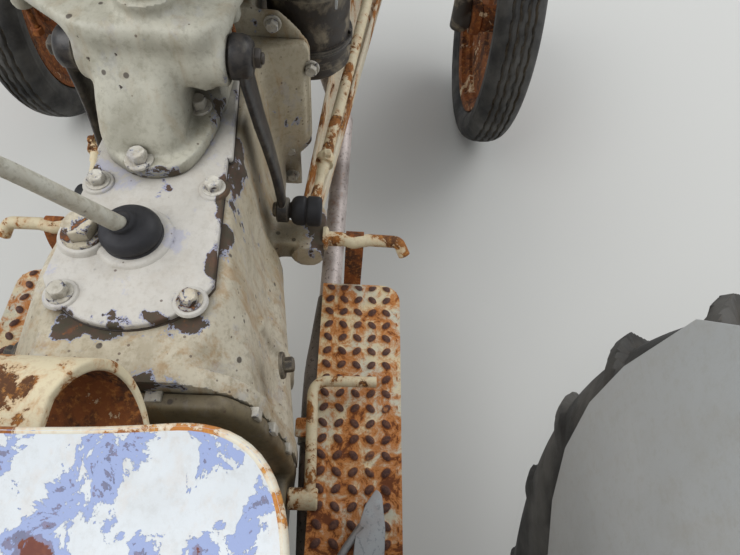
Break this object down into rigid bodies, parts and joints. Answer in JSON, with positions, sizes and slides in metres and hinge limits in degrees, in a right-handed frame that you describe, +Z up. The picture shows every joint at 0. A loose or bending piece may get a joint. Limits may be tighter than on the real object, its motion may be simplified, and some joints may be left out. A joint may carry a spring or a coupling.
{
  "type": "vintage tractor",
  "caption": "Small open farm tractor with a tilting bonnet, steered front wheels and a rear hydraulic linkage.",
  "frame": {"origin": "on the ground under the middle of the overall length and width", "axes": "+X towards the front of the tractor, +Y to its left, +Z up"},
  "size_m": [2.949, 1.615, 1.3294],
  "materials": {
    "castings": "worn satin paint over blue undercoat",
    "sheet_metal": "worn satin paint",
    "dark_iron": "dark greasy paint and rust",
    "rusty_wheel": "rust",
    "tyre": "matt, dusty",
    "rubber": "satin",
    "exhaust_steel": "dull, stained",
    "rusty_steel": "rust with remains of paint"
  },
  "bodies": {
    "chassis": {"centre_housing": "castings", "lift_cover": "castings", "axle_housings": "castings", "gearbox_housing": "castings", "gearbox_cover": "castings", "gear_lever": "sheet_metal", "gear_boot": "rubber", "engine_block": "castings", "cylinder_head": "sheet_metal", "engine_units": "dark_iron", "exhaust": "exhaust_steel", "air_cleaner": "castings", "radiator": "dark_iron", "front_support": "castings", "front_axle": "dark_iron", "radius_rods": "castings", "steering_box": "castings", "dash_panel": "sheet_metal", "fuel_tank": "sheet_metal", "seat_spring": "rusty_steel", "seat_pan": "sheet_metal", "mudguards": "sheet_metal", "footboards": "castings", "pedals": "rusty_steel"},
    "rear_left": {"rear_wheel_left": "sheet_metal", "rear_tyre_left": "tyre"},
    "rear_right": {"rear_wheel_right": "sheet_metal", "rear_tyre_right": "tyre"},
    "front_left": {"front_wheel_left": "rusty_wheel", "front_tyre_left": "tyre"},
    "front_right": {"front_wheel_right": "rusty_wheel", "front_tyre_right": "tyre"},
    "steer_left": {"knuckle_left": "dark_iron"},
    "steer_right": {"knuckle_right": "dark_iron"},
    "arm_left": {"drop_arm_left": "dark_iron"},
    "arm_right": {"drop_arm_right": "dark_iron"},
    "link_left": {"drag_link_left": "dark_iron"},
    "link_right": {"drag_link_right": "dark_iron"},
    "hand_wheel": {"steering_wheel": "rubber"},
    "hood": {"bonnet": "sheet_metal", "grille": "sheet_metal"},
    "hitch_links": {"lower_links": "dark_iron"},
    "hitch_arms": {"lift_arms": "dark_iron"},
    "hitch_rods": {"lift_rods": "dark_iron"}
  },
  "joints": [
    {"name": "rear_left_spin", "type": "hinge", "parent": "chassis", "child": "rear_left", "pos_m": [-0.6485, 0.6605, 0.612], "axis": [0, 1, 0], "continuous": true},
    {"name": "rear_right_spin", "type": "hinge", "parent": "chassis", "child": "rear_right", "pos_m": [-0.6485, -0.6605, 0.612], "axis": [0, 1, 0], "continuous": true},
    {"name": "steer_left_turn", "type": "hinge", "parent": "chassis", "child": "steer_left", "pos_m": [1.1295, 0.525, 0.5], "axis": [0, 0, 1], "range_deg": [-35, 35]},
    {"name": "steer_right_turn", "type": "hinge", "parent": "chassis", "child": "steer_right", "pos_m": [1.1295, -0.525, 0.5], "axis": [0, 0, 1], "range_deg": [-35, 35]},
    {"name": "front_left_spin", "type": "hinge", "parent": "steer_left", "child": "front_left", "pos_m": [1.1295, 0.618, 0.345], "axis": [0, 1, 0], "continuous": true},
    {"name": "front_right_spin", "type": "hinge", "parent": "steer_right", "child": "front_right", "pos_m": [1.1295, -0.618, 0.345], "axis": [0, 1, 0], "continuous": true},
    {"name": "drop_arm_left_swing", "type": "hinge", "parent": "chassis", "child": "arm_left", "pos_m": [0.2015, 0.1, 0.865], "axis": [0, 1, 0], "range_deg": [-28.4, 28.4]},
    {"name": "drag_link_left_swing", "type": "hinge", "parent": "arm_left", "child": "link_left", "pos_m": [0.2015, 0.15, 0.585], "axis": [0, 1, 0], "range_deg": [-28.4, 28.4]},
    {"name": "drop_arm_right_swing", "type": "hinge", "parent": "chassis", "child": "arm_right", "pos_m": [0.2015, -0.1, 0.865], "axis": [0, 1, 0], "range_deg": [-28.4, 28.4]},
    {"name": "drag_link_right_swing", "type": "hinge", "parent": "arm_right", "child": "link_right", "pos_m": [0.2015, -0.15, 0.585], "axis": [0, 1, 0], "range_deg": [-28.4, 28.4]},
    {"name": "steering_wheel_turn", "type": "hinge", "parent": "chassis", "child": "hand_wheel", "pos_m": [0.2195, 0, 0.93], "axis": [-0.342, 0, 0.9397], "range_deg": [-315, 315]},
    {"name": "bonnet_tilt", "type": "hinge", "parent": "chassis", "child": "hood", "pos_m": [1.2015, 0, 0.612], "axis": [0, 1, 0], "range_deg": [0, 75]},
    {"name": "lower_links_lift", "type": "hinge", "parent": "chassis", "child": "hitch_links", "pos_m": [-0.6885, 0, 0.43], "axis": [0, 1, 0], "range_deg": [-14, 30]},
    {"name": "lift_arms_turn", "type": "hinge", "parent": "chassis", "child": "hitch_arms", "pos_m": [-0.7635, 0, 0.77], "axis": [0, 1, 0], "range_deg": [-19, 40]},
    {"name": "lift_rods_swing", "type": "hinge", "parent": "hitch_arms", "child": "hitch_rods", "pos_m": [-1.0135, 0, 0.744], "axis": [0, 1, 0], "range_deg": [-40, 19]}
  ],
  "couplings": [
    {"joint": "steer_right_turn", "follows": "steer_left_turn", "ratio": 1},
    {"joint": "drop_arm_left_swing", "follows": "steer_left_turn", "ratio": -0.8106},
    {"joint": "drop_arm_right_swing", "follows": "steer_left_turn", "ratio": 0.8106},
    {"joint": "drag_link_left_swing", "follows": "steer_left_turn", "ratio": 0.8106},
    {"joint": "drag_link_right_swing", "follows": "steer_left_turn", "ratio": -0.8106},
    {"joint": "steering_wheel_turn", "follows": "steer_left_turn", "ratio": 9},
    {"joint": "lift_arms_turn", "follows": "lower_links_lift", "ratio": 1.3072},
    {"joint": "lift_rods_swing", "follows": "lower_links_lift", "ratio": -1.3072}
  ]
}
